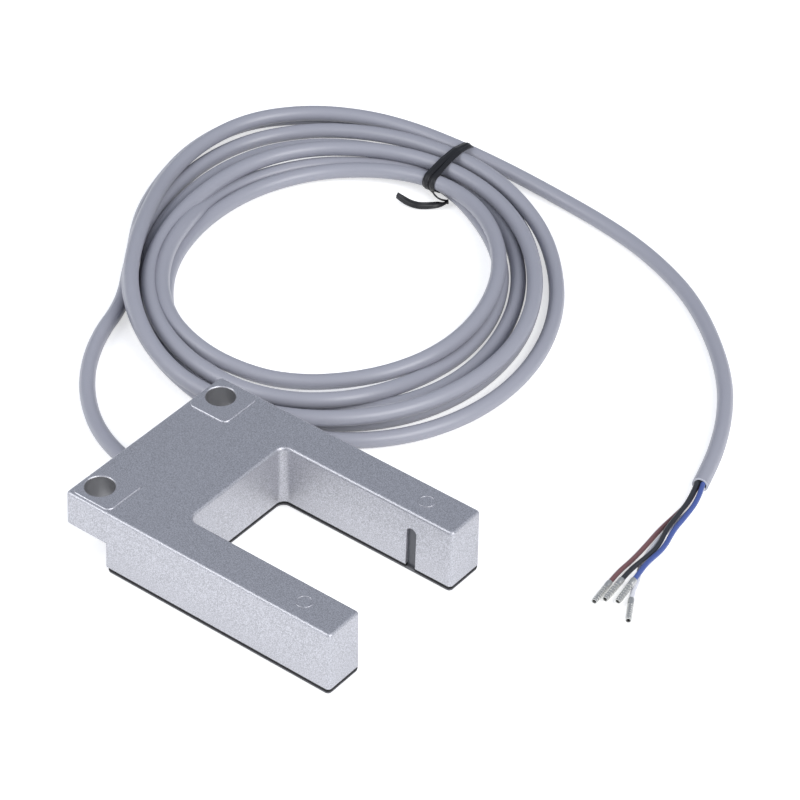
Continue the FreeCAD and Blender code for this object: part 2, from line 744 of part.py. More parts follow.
def make_ferrule(name, start, tip):
    """A crimped sleeve that carries on from the end of a wire, open at its tip."""
    body = doc.addObject("PartDesign::Body", name)
    direction = tip.sub(start)
    turn = FreeCAD.Rotation(FreeCAD.Vector(1, 0, 0), direction)
    body.Placement = FreeCAD.Placement(start, turn)
    sketch = new_sketch(body, f"{name}_section", "XZ_Plane", "0")
    outer = "dim.ferrule_diameter / 2"
    bore = "dim.ferrule_bore / 2"
    floor = "dim.ferrule_length - dim.ferrule_depth"
    draw_outline(sketch, [
        ("0", "0"),
        (floor, "0"),
        (floor, bore),
        ("dim.ferrule_length", bore),
        ("dim.ferrule_length", outer),
        ("0", outer),
    ])
    turn_profile(body, sketch)
    return body


def turn_profile(body, sketch):
    """Turn a half section about the sketch's horizontal axis."""
    turned = body.newObject("PartDesign::Revolution", f"{sketch.Name}_turned")
    turned.Profile = sketch
    turned.ReferenceAxis = (sketch, ["H_Axis"])
    turned.Angle = 360
    doc.recompute()
    return turned


def route_edges(name, points, share):
    """Straight runs joined by tangent arcs, each as large as its two runs allow."""
    edges = []
    start = points[0]
    radii = []
    for before, corner, after in zip(points, points[1:], points[2:]):
        run_in = corner.sub(before)
        run_out = after.sub(corner)
        reach = share * min(run_in.Length, run_out.Length)
        turn = run_in.getAngle(run_out)
        radius = reach / math.tan(turn / 2)
        leave = corner.sub(FreeCAD.Vector(run_in).normalize() * reach)
        join = corner.add(FreeCAD.Vector(run_out).normalize() * reach)
        inwards = leave.add(join).multiply(0.5).sub(corner).normalize()
        crown = corner.add(inwards * (radius / math.cos(turn / 2) - radius))
        edges.append(Part.LineSegment(start, leave).toShape())
        edges.append(Part.Arc(leave, crown, join).toShape())
        start = join
        radii.append(radius)
    edges.append(Part.LineSegment(start, points[-1]).toShape())
    print(f"{name}: arc radii {[round(radius, 1) for radius in radii]}")
    return edges


def make_tube(name, points, diameter, share=CORD_SHARE):
    """A round tube along a route of straight runs and tangent arcs."""
    points = [FreeCAD.Vector(point) for point in points]
    path = Part.Wire(route_edges(name, points, share))
    circle = Part.Circle(points[0], points[1].sub(points[0]), diameter / 2)
    section = Part.Wire([circle.toShape()])
    tube = path.makePipeShell([section], True, False)
    wanted = math.pi * (diameter / 2) ** 2 * path.Length
    if abs(tube.Volume - wanted) > 0.005 * wanted:
        raise ValueError(f"{name} has volume {tube.Volume}, not {wanted}")
    item = doc.addObject("Part::Feature", name)
    item.Shape = tube
    return item


def make_oval(name, middle, long_radius, short_radius, height):
    """An upright oval block that stands on the surface."""
    edge = doc.addObject("Part::Ellipse", f"{name}_outline")
    bind(edge, MajorRadius=long_radius, MinorRadius=short_radius)
    edge.Placement = FreeCAD.Placement(FreeCAD.Vector(*middle, 0),
                                       FreeCAD.Rotation(UP, COIL_ANGLE))
    block = doc.addObject("Part::Extrusion", name)
    block.Base = edge
    block.DirMode = "Custom"
    block.Dir = UP
    block.Solid = True
    bind(block, LengthFwd=height)
    return block


def make_ring(name, growth):
    """The coil's outer shape, an oval ring with rounded edges, grown outwards by growth."""
    outer = make_oval(f"{name}_outer", COIL_MIDDLE, f"dim.coil_long_radius + {growth}",
                      f"dim.coil_short_radius + {growth}", f"dim.coil_height + {growth}")
    inner = make_oval(f"{name}_inner", COIL_INNER_MIDDLE,
                      f"dim.coil_inner_long_radius - {growth}",
                      f"dim.coil_inner_short_radius - {growth}", f"dim.coil_height + {growth}")
    ring = doc.addObject("Part::Cut", f"{name}_ring")
    ring.Base = outer
    ring.Tool = inner
    doc.recompute()
    rounded = doc.addObject("Part::Fillet", name)
    rounded.Base = ring
    radius = value(f"dim.coil_edge_radius + {growth}")
    top = value(f"dim.coil_height + {growth}")
    edges = []
    for number, edge in enumerate(ring.Shape.Edges, start=1):
        if edge.Closed and abs(edge.CenterOfMass.z - top) < 0.001:
            edges.append((number, radius, radius))
    rounded.Edges = edges
    doc.recompute()
    return rounded


def make_tie(ring):
    """The band of the twist tie over the coil, down to the surface on both sides."""
    grown = make_ring("tie_envelope", "dim.tie_thickness")
    slab = doc.addObject("Part::Box", "tie_slab")
    bind(slab, Length="dim.tie_width", Height="dim.coil_height + dim.tie_thickness",
         Placement__Base__x=f"{TIE_MIDDLE[0]} - dim.tie_width / 2")
    slab.Width = TIE_SPAN
    slab.Placement.Base.y = TIE_MIDDLE[1] - TIE_SPAN / 2
    strip = doc.addObject("Part::Common", "tie_strip")
    strip.Base = grown
    strip.Tool = slab
    band = doc.addObject("Part::Cut", "coil_tie")
    band.Base = strip
    band.Tool = ring
    return band


def cut_by_coil(name, tube, ring):
    """What is left of a tube of the cable outside the coil."""
    rest = doc.addObject("Part::Cut", name)
    rest.Base = tube
    rest.Tool = ring
    return rest


def make_cable():
    """The cable from the outlet through its coil to the stripped end."""
    diameter = value("dim.cable_diameter")
    inside = value(CABLE_END)
    outlet = value(f"{REAR_WALL} - dim.cable_diameter * 2.6")
    height = value(CABLE_HEIGHT)
    lead_points = [(inside, 0, height), (outlet, 0, height)] + LEAD_ROUTE
    ring = make_ring("cable_coil", "0")
    lead = make_tube("lead_tube", lead_points, diameter)
    tail = make_tube("tail_tube", TAIL_ROUTE, diameter)
    return [
        ring,
        cut_by_coil("cable_lead", lead, ring),
        cut_by_coil("cable_tail", tail, ring),
        make_tie(ring),
    ]


def make_wires():
    """The four stripped wires at the cable's end, each with its crimped ferrule."""
    pieces = []
    diameter = value("dim.core_diameter")
    for colour, route in WIRE_ROUTES.items():
        pieces.append(make_tube(f"{colour}_wire", route, diameter))
        end = FreeCAD.Vector(route[-1])
        direction = end.sub(FreeCAD.Vector(route[-2]))
        pieces.append(make_ferrule(f"{colour}_ferrule", end, end.add(direction)))
    return pieces


def make_cores():
    """The same four cores inside, from the jacket's end up to the board."""
    pieces = []
    diameter = value("dim.core_diameter")
    offset = value("dim.core_offset")
    start = value(CABLE_END)
    rise = value(STRIP_X)
    middle = value(CABLE_HEIGHT)
    board = value(BOARD)
    for colour, (right, above) in CORE_SIDES.items():
        spread = offset if above > 0 else 3 * offset
        height = middle + above * offset
        route = [
            (start, right * offset, height),
            (rise, right * spread, height),
            (rise, right * spread, board),
        ]
        pieces.append(make_tube(f"{colour}_core", route, diameter, CORE_SHARE))
    return pieces


nodes = [
    make_housing(),
    make_cover_seal(),
    make_bottom_cover(),
    make_circuit_board(),
    make_window("emitter_window", near=True),
    make_window("receiver_window", near=False),
    make_holder("emitter_holder", near=True),
    make_holder("receiver_holder", near=False),
    make_diode("emitter_led", near=True),
    make_diode("receiver_photodiode", near=False),
    make_package("amplifier_ic", "amplifier", 4, AMPLIFIER_Y),
    make_package("output_driver", "transistor", 3, DRIVER_Y),
    make_package("voltage_regulator", "transistor", 2, REGULATOR_Y),
    make_tantalum_capacitor(),
    make_chips("chip_resistors", RESISTOR_ROWS, "dim.resistor_height"),
    make_chips("chip_capacitors", CERAMIC_ROWS, "dim.ceramic_height"),
    make_gland(),
]
nodes += make_cores()
nodes += make_cable()
nodes += make_wires()
doc.recompute()

for item in doc.Objects:
    if "Invalid" in item.State or "Error" in item.State:
        raise ValueError(f"{item.Name} failed: {item.State}")
for node in nodes:
    if node.Shape.isNull() or not node.Shape.isValid() or not node.Shape.Solids:
        raise ValueError(f"{node.Name} has no valid solid")

os.makedirs("parts", exist_ok=True)
for node in nodes:
    node.Shape.exportStep(f"parts/{node.Label}.step")
    box = node.Shape.BoundBox
    print(f"{node.Label}: {len(node.Shape.Solids)} solid, {node.Shape.Volume:.1f} mm3, "
          f"x {box.XMin:.2f} {box.XMax:.2f}, y {box.YMin:.2f} {box.YMax:.2f}, "
          f"z {box.ZMin:.2f} {box.ZMax:.2f}")
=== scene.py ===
import math

import bmesh
import bpy
from mathutils import Matrix, Vector


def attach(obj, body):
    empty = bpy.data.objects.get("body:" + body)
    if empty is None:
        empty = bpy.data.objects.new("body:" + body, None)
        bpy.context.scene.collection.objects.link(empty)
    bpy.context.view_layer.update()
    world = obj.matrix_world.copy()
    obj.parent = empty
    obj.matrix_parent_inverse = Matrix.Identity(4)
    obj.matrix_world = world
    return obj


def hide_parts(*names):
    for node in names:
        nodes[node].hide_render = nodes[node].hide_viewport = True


# Photoelectric fork sensor with its coiled cable, in the row frame: +X along the prongs, +Y to
# the far prong, +Z up from the surface that it lies on. Blender works in metres. The sizes and
# points here are in millimetres, apart from those of the floor, the lights and the camera.

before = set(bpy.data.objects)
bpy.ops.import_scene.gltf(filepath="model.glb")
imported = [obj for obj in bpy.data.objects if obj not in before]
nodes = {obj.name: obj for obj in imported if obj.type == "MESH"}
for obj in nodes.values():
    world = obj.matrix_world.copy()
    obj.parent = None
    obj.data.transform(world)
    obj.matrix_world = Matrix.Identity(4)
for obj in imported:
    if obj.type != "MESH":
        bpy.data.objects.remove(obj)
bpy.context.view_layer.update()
MM = 0.001

# Sizes as in the CAD model
CABLE_DIAMETER = 3.6
WIRE_DIAMETER = 1.1
HOUSING_TOP = 15.6
AXIS_X = 24.5
PRONG_Y = 20.0
BORE_X = -30.25
BORE_Y = 19.3
BORE_DIAMETER = 6.5
SEAL_MIDDLE = 0.95

# How far the pressed seal stands out, and laps over the cover
SEAL_BULGE = 0.12
SEAL_LAP = 0.2
WELD_DISTANCE = 0.001

# Ring marks on the prongs: the ring's radius and its wire's
MARK_RADIUS = 1.7
MARK_THICKNESS = 0.14

# How finely the forms are divided, and the angle in degrees from which an edge is sharp
CORD_SIDES = 6
CORD_STEPS = 10
TURNED_STEPS = 32
WRAP_STEPS = 90
TAIL_PARTS = 5
CREASE_ANGLE = 50

# The coil is laid round an oval. A station is the angle of lay in degrees, the distance
# outwards from the oval and the height of the cable's middle.
COIL_MIDDLE = Vector((-49.0, 88.0))
LONG_AXIS = Vector((0.602, -0.799))
SHORT_AXIS = Vector((0.799, 0.602))
HALF_LONG = 50.5
HALF_SHORT = 42.0
STEPS_A_TURN = 24
TURNS = [
    [(-15, 10.3, 1.8), (0, 8.0, 1.8), (30, 6.9, 1.8), (60, 6.9, 1.8), (90, 0.3, 4.2),
     (120, -2.1, 5.0), (140, -0.3, 5.3), (150, 1.1, 4.7), (165, 3.3, 3.0), (180, 4.5, 1.8),
     (210, 7.5, 1.8), (240, 10.6, 1.8), (270, 12.2, 1.8), (300, 10.8, 1.8), (330, 10.2, 4.0),
     (345, 9.5, 5.4)],
    [(0, 7.2, 5.4), (30, 10.6, 1.8), (60, 14.3, 1.8), (90, 7.4, 1.8), (105, 3.2, 1.8),
     (120, -0.4, 1.8), (150, -0.8, 1.8), (180, -0.2, 1.8), (210, 1.6, 1.8), (240, 4.1, 1.8),
     (270, 6.5, 1.8), (300, 6.7, 1.8), (330, 6.0, 1.8)],
    [(0, 4.5, 1.8), (15, 3.8, 1.8), (30, 2.6, 1.8), (60, 0.8, 1.8), (90, -2.8, 1.8), (120, -4.9, 1.8),
     (150, -4.6, 1.8), (180, -3.9, 1.8), (210, -2.7, 1.8), (240, -0.2, 1.8), (270, 1.6, 1.8),
     (300, 2.8, 1.8), (310, 3.5, 1.8), (330, 2.9, 1.8)],
    [(0, -1.0, 1.8), (15, -4.0, 1.8), (30, -6.8, 1.8), (60, -11.4, 2.0), (90, -13.6, 2.8),
     (120, -12.1, 3.6), (150, -9.5, 5.2), (180, -8.4, 5.4), (210, -8.2, 5.4),
     (240, -7.3, 5.3), (270, -7.0, 3.4), (300, -3.2, 1.8), (310, 0.3, 3.4), (330, 3.2, 5.3),
     (345, 2.1, 5.4)],
    [(0, -0.2, 5.4), (15, -2.9, 5.0), (30, -3.1, 1.8), (45, -5.4, 1.8), (60, -7.6, 1.8),
     (75, -9.0, 1.8), (90, -9.8, 1.8), (105, -9.4, 1.8), (120, -8.8, 1.8), (150, -9.1, 1.8),
     (180, -7.8, 1.8), (210, -7.0, 1.8), (240, -5.5, 2.4), (250, -3.7, 3.4), (265, 1.2, 5.4),
     (280, 4.15, 5.4), (300, 6.5, 5.4), (330, 6.3, 5.4), (345, 5.05, 5.4)],
    [(0, 2.8, 5.0), (15, 0.0, 5.0), (30, -2.3, 5.0), (60, -5.3, 5.0), (90, -7.95, 5.0),
     (120, -7.1, 4.9), (150, -3.7, 5.0), (180, -0.7, 5.0), (210, 2.6, 5.0), (240, 5.4, 5.2),
     (270, 8.9, 5.4), (300, 12.0, 5.4), (310, 12.6, 5.4), (330, 11.0, 7.0), (345, 9.1, 8.2)],
    [(0, 6.7, 8.2), (15, 6.3, 7.0), (30, 8.25, 5.2), (60, 10.3, 5.2), (90, 5.1, 5.4),
     (121, 1.8, 4.6), (150, 6.0, 3.0)],
]
LAST_LAID_ANGLE = 6 * 360 + 105
TIE_ANGLE = 126.5
# The strands rise by the lift towards the tie, from so many degrees away
TIE_LIFT = 0.6
TIE_LIFT_SPAN = 30

LEAD_ROUTE = [
    (-21.1, 0.0, 4.4),
    (-33.4, 0.0, 4.4),
    (-46.0, 2.6, 2.9),
    (-58.0, 8.8, 1.8),
    (-68.6, 18.6, 1.8),
    (-76.2, 31.2, 1.8),
]
TAIL_ROUTE = [
    (-57.0, 138.0, 5.2),
    (-43.0, 140.4, 3.0),
    (-28.0, 140.5, 1.8),
    (-15.4, 139.1, 1.8),
    (-4.0, 136.9, 1.8),
    (6.5, 133.4, 1.8),
    (16.6, 128.6, 1.8),
    (26.2, 121.8, 1.8),
    (35.5, 113.4, 1.8),
    (42.6, 105.2, 1.8),
    (48.3, 96.0, 1.8),
    (52.2, 87.6, 1.8),
    (54.5, 81.3, 1.8),
    (56.5, 74.7, 1.8),
]
WIRE_ROUTES = {
    "brown": [
        (55.9, 74.5, 1.15),
        (57.3, 69.8, 0.6),
        (57.4, 64.4, 0.55),
        (57.5, 58.2, 0.55),
        (58.1, 52.9, 0.55),
        (58.6, 46.8, 0.55),
        (58.6, 41.5, 0.73),
        (59.1, 37.9, 0.73),
    ],
    "white": [
        (57.1, 74.9, 1.15),
        (58.9, 69.6, 0.6),
        (59.0, 63.4, 0.55),
        (58.9, 57.4, 0.55),
        (59.6, 52.2, 0.55),
        (60.9, 46.2, 0.55),
        (63.2, 42.2, 0.6),
        (64.35, 38.6, 0.62),
        (65.6, 36.4, 0.74),
    ],
    "blue": [
        (57.1, 74.9, 2.35),
        (59.1, 70.2, 2.05),
        (60.0, 64.2, 1.8),
        (60.5, 59.0, 1.75),
        (62.3, 52.8, 1.75),
        (62.25, 47.0, 1.95),
        (62.9, 43.4, 2.2),
        (63.2, 40.7, 1.85),
    ],
    "black": [
        (55.9, 74.5, 2.35),
        (57.7, 69.4, 2.15),
        (58.6, 63.2, 1.95),
        (59.2, 58.2, 1.8),
        (61.1, 52.5, 1.8),
        (61.0, 47.2, 1.75),
        (60.5, 43.3, 1.4),
        (60.85, 39.7, 1.25),
    ],
}


# Grain: its depth, and where in the noise its dark and its light stand
GRAIN_DEPTH = 0.1
GRAIN_DARK = 0.35
GRAIN_LIGHT = 0.65

# Painted shade on the bores' walls: its colour, and how far past the wall it reaches
BORE_SHADE = (0.35, 0.35, 0.36)
BORE_MARGIN = 0.05


def make_material(name, colour, roughness, metallic=0.0, specular=0.5):
    """A plain material, and its shader for further inputs."""
    material = bpy.data.materials.new(name)
    material.use_nodes = True
    shader = material.node_tree.nodes["Principled BSDF"]
    shader.inputs["Base Color"].default_value = (*colour, 1)
    shader.inputs["Roughness"].default_value = roughness
    shader.inputs["Metallic"].default_value = metallic
    shader.inputs["Specular IOR Level"].default_value = specular
    return material, shader


def add_grain(material, shader, scale, bump, spread):
    """Fine grain in a material: small bumps, and colour that varies by spread."""
    tree = material.node_tree
    place = tree.nodes.new("ShaderNodeTexCoord")
    noise = tree.nodes.new("ShaderNodeTexNoise")
    noise.inputs["Scale"].default_value = scale
    noise.inputs["Detail"].default_value = 2.0
    tree.links.new(place.outputs["Object"], noise.inputs["Vector"])
    relief = tree.nodes.new("ShaderNodeBump")
    relief.inputs["Strength"].default_value = bump
    relief.inputs["Distance"].default_value = GRAIN_DEPTH * MM
    tree.links.new(noise.outputs["Fac"], relief.inputs["Height"])
    tree.links.new(relief.outputs["Normal"], shader.inputs["Normal"])
    if spread > 0:
        base = shader.inputs["Base Color"].default_value[:3]
        ramp = tree.nodes.new("ShaderNodeValToRGB")
        for stop, level, factor in ((0, GRAIN_DARK, 1 - spread), (1, GRAIN_LIGHT, 1 + spread)):
            ramp.color_ramp.elements[stop].position = level
            ramp.color_ramp.elements[stop].color = (*[part * factor for part in base], 1)
        tree.links.new(noise.outputs["Fac"], ramp.inputs["Fac"])
        tree.links.new(ramp.outputs["Color"], shader.inputs["Base Color"])


def paint_bore_shade(material, shader):
    """Painted shade: a darker colour on the walls of the two fixing bores."""
    tree = material.node_tree
    place = tree.nodes.new("ShaderNodeTexCoord")
    parts = tree.nodes.new("ShaderNodeSeparateXYZ")
    tree.links.new(place.outputs["Object"], parts.inputs[0])
    side = tree.nodes.new("ShaderNodeMath")
    side.operation = "ABSOLUTE"
    tree.links.new(parts.outputs["Y"], side.inputs[0])
    plan = tree.nodes.new("ShaderNodeCombineXYZ")
    tree.links.new(parts.outputs["X"], plan.inputs["X"])
    tree.links.new(side.outputs[0], plan.inputs["Y"])
    away = tree.nodes.new("ShaderNodeVectorMath")
    away.operation = "DISTANCE"
    away.inputs[1].default_value = (BORE_X * MM, BORE_Y * MM, 0)
    tree.links.new(plan.outputs[0], away.inputs[0])
    inside = tree.nodes.new("ShaderNodeMath")
    inside.operation = "LESS_THAN"
    inside.inputs[1].default_value = (BORE_DIAMETER / 2 + BORE_MARGIN) * MM
    tree.links.new(away.outputs["Value"], inside.inputs[0])
    mix = tree.nodes.new("ShaderNodeMix")
    mix.data_type = "RGBA"
    mix.inputs["B"].default_value = (*BORE_SHADE, 1)
    tree.links.new(inside.outputs[0], mix.inputs["Factor"])
    tree.links.new(shader.inputs["Base Color"].links[0].from_socket, mix.inputs["A"])
    tree.links.new(mix.outputs["Result"], shader.inputs["Base Color"])


def paint(item, material):
    """Give a material to every slot of an object."""
    if not item.material_slots:
        item.data.materials.append(material)
    for slot in item.material_slots:
        slot.material = material


def make_curve(name, points, diameter, material):
    """A round cord as one open NURBS line with given control points."""
    curve = bpy.data.curves.new(name, "CURVE")
    curve.dimensions = "3D"
    curve.bevel_depth = diameter / 2 * MM
    curve.bevel_resolution = CORD_SIDES
    curve.use_fill_caps = True
    line = curve.splines.new("NURBS")
    line.points.add(len(points) - 1)
    for target, point in zip(line.points, points):
        target.co = (*[part * MM for part in point], 1)
    line.order_u = 3
    line.use_endpoint_u = True
    line.resolution_u = CORD_STEPS
    line.use_smooth = True
    item = bpy.data.objects.new(name, curve)
    bpy.context.scene.collection.objects.link(item)
    item.data.materials.append(material)
    return item


def make_mesh(name, vertices, faces, material):
    """A mesh from points in millimetres."""
    mesh = bpy.data.meshes.new(name)
    mesh.from_pydata([[part * MM for part in vertex] for vertex in vertices], [], faces)
    mesh.validate()
    mesh.polygons.foreach_set("use_smooth", [True] * len(mesh.polygons))
    mesh.set_sharp_from_angle(angle=math.radians(CREASE_ANGLE))
    item = bpy.data.objects.new(name, mesh)
    bpy.context.scene.collection.objects.link(item)
    item.data.materials.append(material)
    return item


def finish_piece(item, slot_name, *replaced):
    """Fix a piece to the sensor's only body and hide the parts that it replaces. Its slot name is not
    used.
    """
    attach(item, "root")
    if replaced:
        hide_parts(*replaced)


# Lay of the coil


def flat_stations():
    """All stations with the angle counted on from turn to turn."""
    return [
        (360 * turn + angle, offset, height)
        for turn, row in enumerate(TURNS)
        for angle, offset, height in row
    ]


STATIONS = flat_stations()


def ease(start, end, slope_in, slope_out, share):
    """A smooth step from start to end, with a slope at each of them."""
    rise = 3 * share ** 2 - 2 * share ** 3
    lead_in = share ** 3 - 2 * share ** 2 + share
    lead_out = share ** 3 - share ** 2
    return start + (end - start) * rise + slope_in * lead_in + slope_out * lead_out


def through(points, parts):
    """Points on a smooth line through the given ones, with parts steps from each to the next."""
    last = len(points) - 1
    path = []
    for index in range(last):
        start, end = points[index], points[index + 1]
        slope_in = (end - points[max(index - 1, 0)]) / 2
        slope_out = (points[min(index + 2, last)] - start) / 2
        path += [ease(start, end, slope_in, slope_out, part / parts) for part in range(parts)]
    return path + [points[last]]


def lay(angle):
    """Offset and height of the cable at an angle, on a smooth curve through the stations.

    Nowhere does the cable dip under the ground that it lies on."""
    last = len(STATIONS) - 2
    index = 0
    while index < last and STATIONS[index + 1][0] <= angle:
        index += 1
    before = STATIONS[max(index - 1, 0)]
    start = STATIONS[index]
    end = STATIONS[index + 1]
    after = STATIONS[min(index + 2, last + 1)]
    span = end[0] - start[0]
    share = (angle - start[0]) / span
    result = []
    for part in (1, 2):
        slope_in = (end[part] - before[part]) / (end[0] - before[0]) * span
        slope_out = (after[part] - start[part]) / (after[0] - start[0]) * span
        result.append(ease(start[part], end[part], slope_in, slope_out, share))
    lift = TIE_LIFT * max(0.0, 1 - abs(angle % 360 - TIE_ANGLE) / TIE_LIFT_SPAN)
    return result[0], max(result[1] + lift, CABLE_DIAMETER / 2)


def outwards(angle):
    """Direction across the coil at an angle, and the oval's own point there."""
    turn = math.radians(270 - angle)
    across = LONG_AXIS * math.cos(turn) + SHORT_AXIS * math.sin(turn)
    point = LONG_AXIS * (HALF_LONG * math.cos(turn)) + SHORT_AXIS * (HALF_SHORT * math.sin(turn))
    return across, point


def coil_points():
    """Control points of the coil. They lie outside the line, by as much as it cuts corners."""
    outset = 1 / math.cos(math.pi / STEPS_A_TURN)
    points = []
    angle = STATIONS[0][0]
    while angle <= LAST_LAID_ANGLE:
        offset, height = lay(angle)
        across, point = outwards(angle)
        spot = COIL_MIDDLE + (point + across * offset) * outset
        points.append((spot.x, spot.y, height))
        angle += 360 // STEPS_A_TURN
    return points


# Materials

casting, casting_shader = make_material("silver_lacquer", (0.505, 0.506, 0.54), 0.45, 0.75)
add_grain(casting, casting_shader, scale=4600, bump=0.12, spread=0.26)
# Painted shade on the walls of the two fixing bores
paint_bore_shade(casting, casting_shader)
jacket, jacket_shader = make_material("grey_jacket", (0.353, 0.356, 0.405), 0.36, 0.0, 0.6)
add_grain(jacket, jacket_shader, scale=1500, bump=0.04, spread=0.0)
cover = make_material("cover_plastic", (0.13, 0.13, 0.14), 0.5)[0]
seal = make_material("seal_rubber", (0.008, 0.008, 0.009), 0.7, 0.0, 0.3)[0]
window = make_material("window_plastic", (0.085, 0.087, 0.10), 0.3)[0]
tie_plastic = make_material("tie_plastic", (0.012, 0.012, 0.014), 0.42)[0]
cut_jacket = make_material("cut_jacket", (0.62, 0.63, 0.68), 0.7)[0]
filler = make_material("dark_filler", (0.03, 0.03, 0.035), 0.8)[0]
gland = make_material("gland_rubber", (0.02, 0.02, 0.022), 0.6)[0]
tin = make_material("tinned_metal", (0.60, 0.60, 0.58), 0.35, 0.8)[0]
laminate = make_material("laminate", (0.03, 0.14, 0.06), 0.45)[0]
chip_body = make_material("chip_body", (0.02, 0.02, 0.022), 0.5)[0]
tantalum = make_material("tantalum", (0.60, 0.36, 0.05), 0.5)[0]
resistor = make_material("resistor", (0.03, 0.03, 0.035), 0.4)[0]
ceramic = make_material("ceramic", (0.40, 0.27, 0.16), 0.5)[0]
led_epoxy = make_material("led_epoxy", (0.55, 0.58, 0.62), 0.15)[0]
diode_epoxy = make_material("diode_epoxy", (0.02, 0.02, 0.03), 0.15)[0]
holder_plastic = make_material("holder_plastic", (0.015, 0.015, 0.016), 0.55)[0]
WIRE_COLOURS = {
    "brown": (0.20, 0.095, 0.10),
    "white": (0.72, 0.72, 0.76),
    "blue": (0.07, 0.11, 0.34),
    "black": (0.03, 0.032, 0.038),
}
wire_materials = {
    colour: make_material(f"wire_{colour}", shade, 0.4)[0]
    for colour, shade in WIRE_COLOURS.items()
}

FINISHES = {
    "housing": casting,
    "cover_seal": seal,
    "bottom_cover": cover,
    "circuit_board": laminate,
    "emitter_window": window,
    "receiver_window": window,
    "emitter_holder": holder_plastic,
    "receiver_holder": holder_plastic,
    "emitter_led": led_epoxy,
    "receiver_photodiode": diode_epoxy,
    "amplifier_ic": chip_body,
    "output_driver": chip_body,
    "voltage_regulator": chip_body,
    "tantalum_capacitor": tantalum,
    "chip_resistors": resistor,
    "chip_capacitors": ceramic,
    "cable_gland": gland,
}
for colour, material in wire_materials.items():
    FINISHES[f"{colour}_core"] = material
    FINISHES[f"{colour}_ferrule"] = tin
for name, material in FINISHES.items():
    paint(nodes[name], material)

# Seal


def press_seal():
    """The seal as it sits: squeezed out to the casting's side and a little over the cover."""
    shape = bmesh.new()
    shape.from_mesh(nodes["cover_seal"].data)
    bmesh.ops.remove_doubles(shape, verts=shape.verts, dist=WELD_DISTANCE * MM)
    shape.normal_update()
    for vertex in shape.verts:
        out = vertex.normal.xy.normalized()
        vertex.co.x += out.x * SEAL_BULGE * MM
        vertex.co.y += out.y * SEAL_BULGE * MM
        if vertex.co.z < SEAL_MIDDLE * MM:
            vertex.co.z -= SEAL_LAP * MM
    mesh = bpy.data.meshes.new("pressed_seal")
    shape.to_mesh(mesh)
    shape.free()
    item = bpy.data.objects.new("pressed_seal", mesh)
    bpy.context.scene.collection.objects.link(item)
    item.data.materials.append(seal)
    finish_piece(item, "seal_rubber", "cover_seal")


press_seal()

# Cable

cable = make_curve("cable", LEAD_ROUTE + coil_points() + TAIL_ROUTE, CABLE_DIAMETER, jacket)
finish_piece(cable, "jacket", "cable_lead", "cable_coil", "cable_tail")

# Turned pieces


def make_turned(name, start, ahead, section, material):
    """A round piece from (distance along, radius) pairs, open at first and closed at last."""
    side = ahead.cross(Vector((0, 0, 1))).normalized()
    up = side.cross(ahead)
    steps = TURNED_STEPS
    vertices = []
    for along, radius in section:
        for step in range(steps):
            turn = 2 * math.pi * step / steps
            spoke = side * math.cos(turn) + up * math.sin(turn)
            vertices.append(start + ahead * along + spoke * radius)
    faces = []
    for low in range(0, len(vertices) - steps, steps):
        for step in range(steps):
            follower = (step + 1) % steps
            faces.append((low + step, low + follower, low + steps + follower, low + steps + step))
    faces.append(tuple(range(len(vertices) - steps, len(vertices))))
    return make_mesh(name, vertices, faces, material)


def end_of(route):
    """Last point of a route and the direction there."""
    end = Vector(route[-1])
    return end, (end - Vector(route[-2])).normalized()


# Cut end of the jacket: a pale rim round the dark inside

RIM_SECTION = [(0, 1.8), (0.08, 1.78), (0.08, 1.4), (0, 1.38)]
FILLER_SECTION = [(0, 1.38), (0.03, 1.38)]
jacket_rim = make_turned("jacket_rim", *end_of(TAIL_ROUTE), RIM_SECTION, cut_jacket)
jacket_filler = make_turned("jacket_filler", *end_of(TAIL_ROUTE), FILLER_SECTION, filler)
finish_piece(jacket_rim, "jacket")
finish_piece(jacket_filler, "jacket")


# Twist tie


def sweep_ribbon(name, path, outs, profile, closed):
    """A ribbon with its section, given across and outwards, carried along a path."""
    vertices = []
    count = len(path)
    for index, (point, out) in enumerate(zip(path, outs)):
        if closed:
            ahead = path[(index + 1) % count] - path[index - 1]
        else:
            ahead = path[min(index + 1, count - 1)] - path[max(index - 1, 0)]
        across = ahead.cross(out).normalized()
        upright = across.cross(ahead).normalized()
        for wide, high in profile:
            vertices.append(point + across * wide + upright * high)
    faces = []
    sides = len(profile)
    for index in range(count if closed else count - 1):
        follower = (index + 1) % count
        for side in range(sides):
            turn = (side + 1) % sides
            faces.append((index * sides + side, index * sides + turn,
                          follower * sides + turn, follower * sides + side))
    if not closed:
        faces.append(tuple(range(sides)))
        faces.append(tuple((count - 1) * sides + side for side in reversed(range(sides))))
    return make_mesh(name, vertices, faces, tie_plastic)


# Section of the tie, across and outwards: a flat ribbon with a wire's rib in its middle
TIE_SECTION = [(-0.85, 0.0), (-0.8, 0.12), (-0.4, 0.15), (-0.2, 0.3), (0.2, 0.3),
               (0.4, 0.15), (0.8, 0.12), (0.85, 0.0), (0.8, -0.12), (-0.8, -0.12)]


